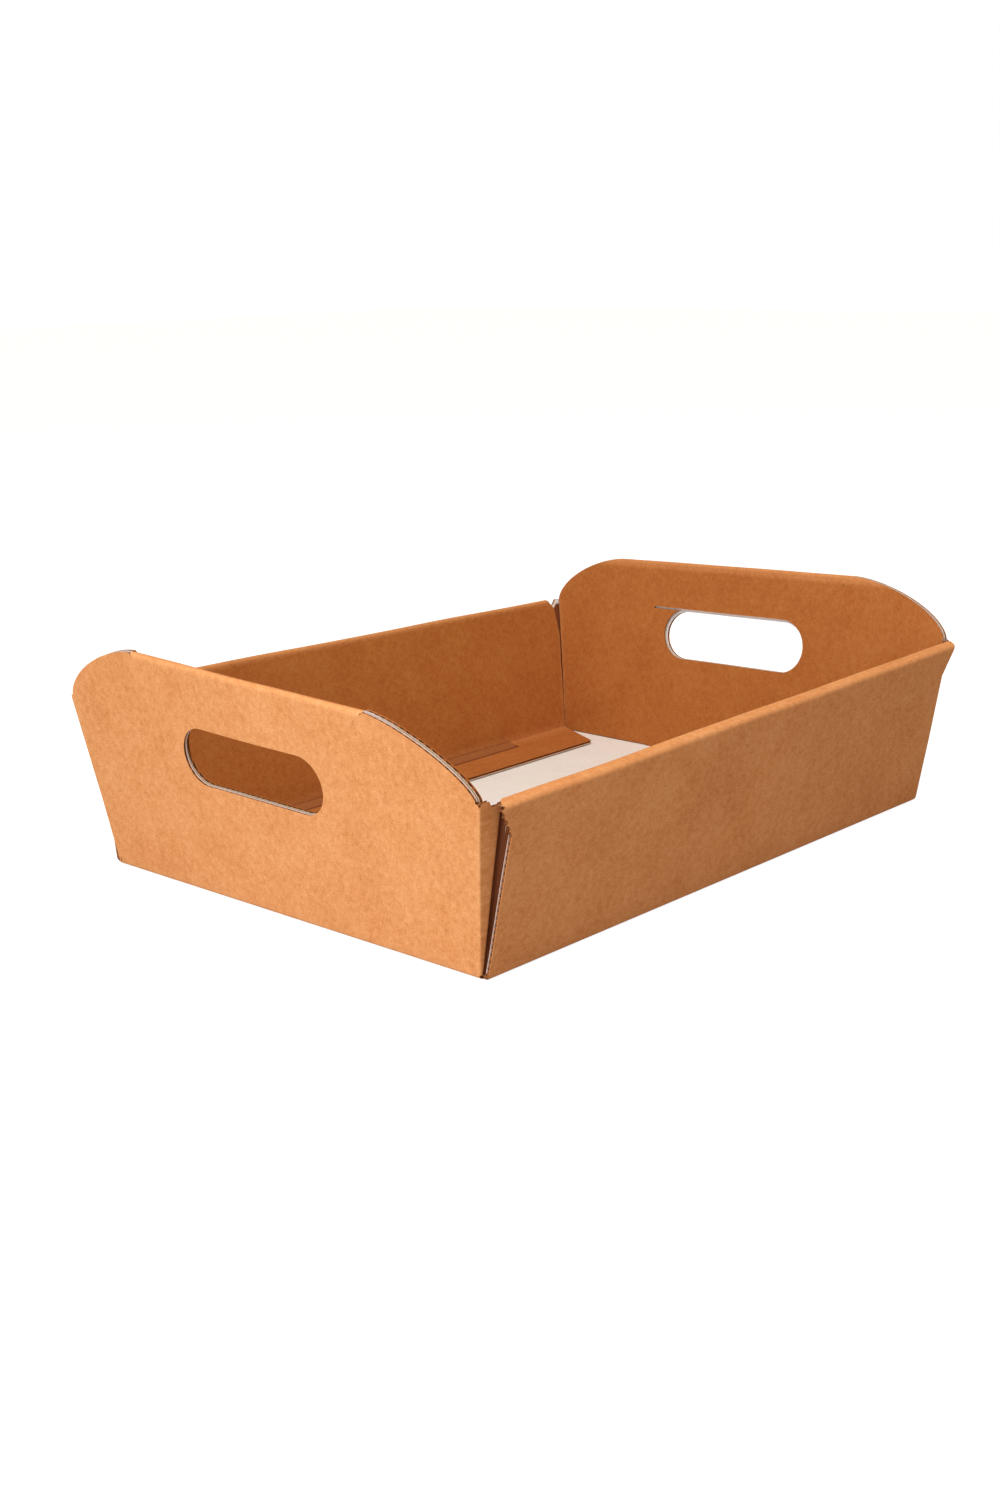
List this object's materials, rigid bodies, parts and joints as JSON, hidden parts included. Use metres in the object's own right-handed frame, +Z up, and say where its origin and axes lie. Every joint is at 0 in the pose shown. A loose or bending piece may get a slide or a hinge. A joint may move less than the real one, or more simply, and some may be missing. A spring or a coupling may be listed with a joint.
{
  "type": "cardboard tray box",
  "caption": "Shallow folded tray of corrugated board with leaning double walls, round-shouldered ends, hand holes and tucked corner tabs.",
  "frame": {"origin": "middle of the underside of the base", "axes": "+X along the length towards one end wall with its hand hole, +Y across the width towards one long side, +Z up"},
  "size_m": [0.3416, 0.26, 0.1029],
  "materials": {
    "kraft_board": "matte"
  },
  "bodies": {
    "root": {"folded_tray": "kraft_board"}
  },
  "joints": []
}
